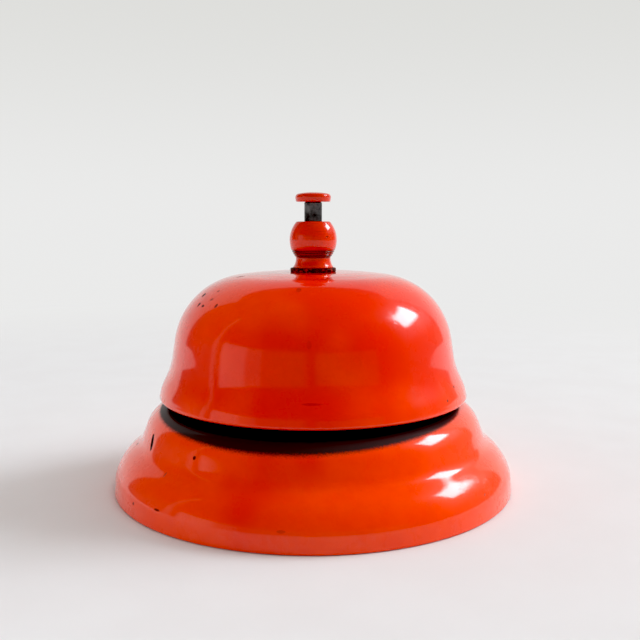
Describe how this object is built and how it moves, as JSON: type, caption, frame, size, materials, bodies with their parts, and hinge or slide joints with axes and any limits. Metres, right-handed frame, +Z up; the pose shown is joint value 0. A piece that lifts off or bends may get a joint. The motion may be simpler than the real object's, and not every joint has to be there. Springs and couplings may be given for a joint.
{
  "type": "desk call bell",
  "caption": "Enamelled counter bell: a dome gong on a post over a round base, struck from inside by a hammer lever when its plunger is tapped.",
  "frame": {"origin": "centre of the felt's underside, on the table under the bell's axis", "axes": "+Z up along the gong's and plunger's axis; +X towards the hammer; -Y towards the viewer"},
  "size_m": [0.0908, 0.0908, 0.0663],
  "materials": {
    "orange_enamel": "glossy, chipped",
    "blackened_steel": "oiled, satin",
    "bright_steel": "satin",
    "plate_steel": "dull zinc",
    "brass": "turned, slightly tarnished",
    "fibre": "matte",
    "felt": "matte"
  },
  "bodies": {
    "base": {"base_shell": "orange_enamel", "bottom_plate": "plate_steel", "felt_pad": "felt", "post": "bright_steel", "post_bolt": "bright_steel", "post_lock_washer": "bright_steel", "bracket": "bright_steel", "bracket_rivets": "bright_steel", "pivot_pin": "bright_steel", "pivot_clip": "blackened_steel", "hammer_rest_pad": "felt", "gong_lower_washer": "fibre", "gong": "orange_enamel", "gong_upper_washer": "blackened_steel", "finial": "orange_enamel", "guide_bush": "brass"},
    "hammer": {"hammer_lever": "bright_steel", "hammer_head": "brass", "hammer_rivet": "bright_steel"},
    "plunger": {"plunger_rod": "blackened_steel", "plunger_collar": "bright_steel", "collar_pin": "bright_steel", "plunger_spring": "bright_steel", "plunger_button": "orange_enamel"}
  },
  "joints": [
    {"name": "plunger_slide", "type": "slide", "parent": "base", "child": "plunger", "axis": [0, 0, -1], "range_m": [0, 0.004], "stiffness_N_per_m": 300, "springref_m": -0.004, "deforming": ["plunger_spring"]},
    {"name": "hammer_swing", "type": "hinge", "parent": "base", "child": "hammer", "pos_m": [0.008, 0, 0.03], "axis": [0, -1, 0], "range_deg": [0, 28.65]}
  ],
  "couplings": [
    {"joint": "hammer_swing", "follows": "plunger_slide", "rad_per_m": 125}
  ]
}
